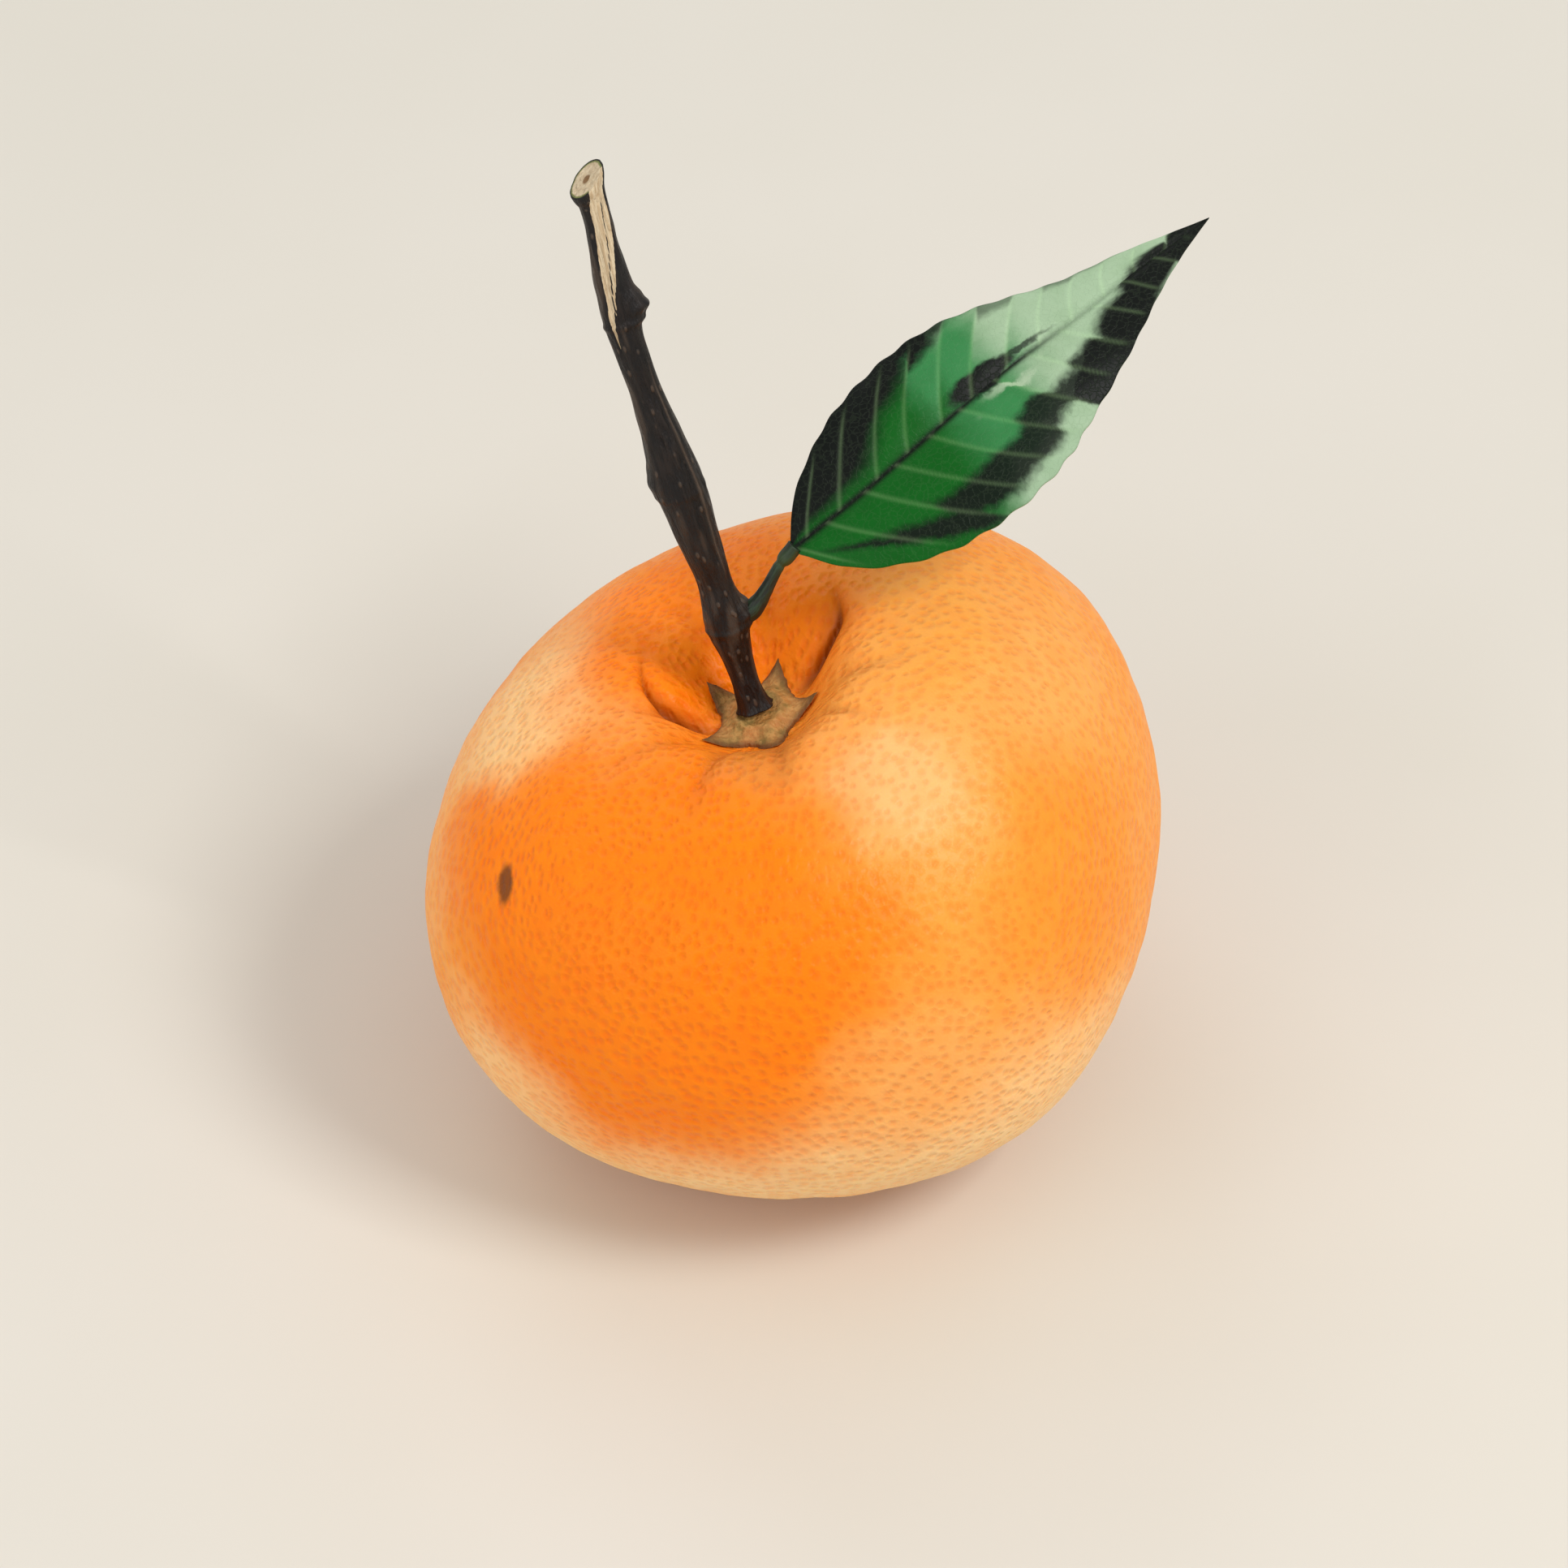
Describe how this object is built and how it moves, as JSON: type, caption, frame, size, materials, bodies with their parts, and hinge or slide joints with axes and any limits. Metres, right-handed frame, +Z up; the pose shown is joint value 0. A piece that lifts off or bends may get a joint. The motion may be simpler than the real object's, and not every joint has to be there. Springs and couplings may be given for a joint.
{
  "type": "mandarin with a twig and a leaf",
  "caption": "Fresh mandarin, lopsided and slightly flattened, with its calyx, a length of twig and a leaf on its stalk; rests on a small flat spot.",
  "frame": {"origin": "centre of the small flat spot that the fruit rests on, on its plane", "axes": "+Z up, away from the flat spot; +X to the side the leaf stands out on; +Y the way the twig leans back"},
  "size_m": [0.0727, 0.0708, 0.0995],
  "materials": {
    "peel": "satin",
    "calyx": "matte",
    "bark": "matte",
    "leaf_stalk": "satin",
    "leaf": "satin"
  },
  "bodies": {
    "root": {"fruit": "peel", "calyx": "calyx", "twig": "bark", "leaf_stalk": "leaf_stalk", "leaf_blade": "leaf"}
  },
  "joints": []
}
